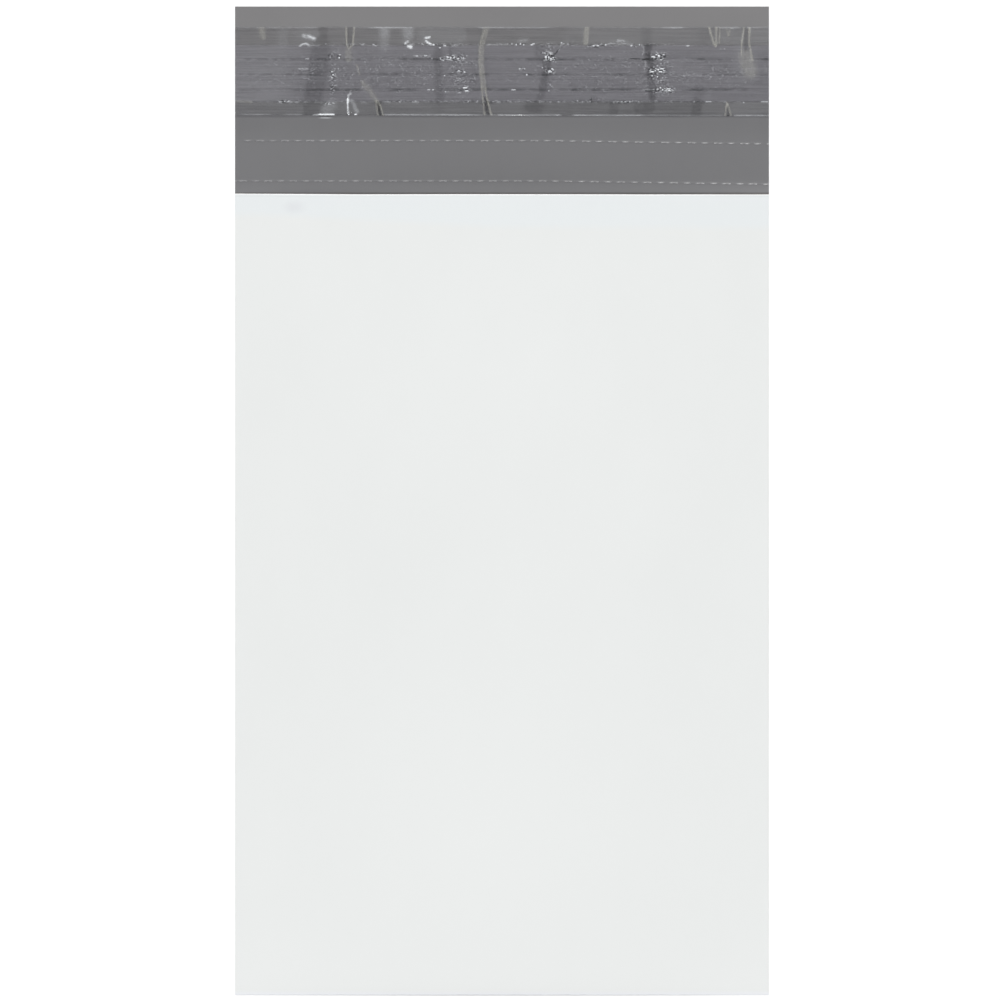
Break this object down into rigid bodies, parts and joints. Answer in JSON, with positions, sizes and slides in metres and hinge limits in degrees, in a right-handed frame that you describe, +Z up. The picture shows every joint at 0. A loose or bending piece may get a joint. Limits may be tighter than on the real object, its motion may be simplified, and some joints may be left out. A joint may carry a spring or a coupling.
{
  "type": "poly mailer bag",
  "caption": "Flat film mailer bag lying open: pocket with side welds, perforated flap, adhesive beads under a clear tunnelled release liner.",
  "frame": {"origin": "on the table, under the middle of the whole bag with its flap open", "axes": "+X across the bag, +Y from the bottom fold to the flap's free edge, +Z up off the table"},
  "size_m": [0.1524, 0.2822, 0.0067],
  "materials": {
    "film": "soft satin film, white outside and grey inside",
    "adhesive": "glossy tacky hot melt",
    "liner": "clear glossy film"
  },
  "bodies": {
    "root": {"film_bag": "film", "adhesive_beads": "adhesive", "release_liner": "liner"}
  },
  "joints": []
}
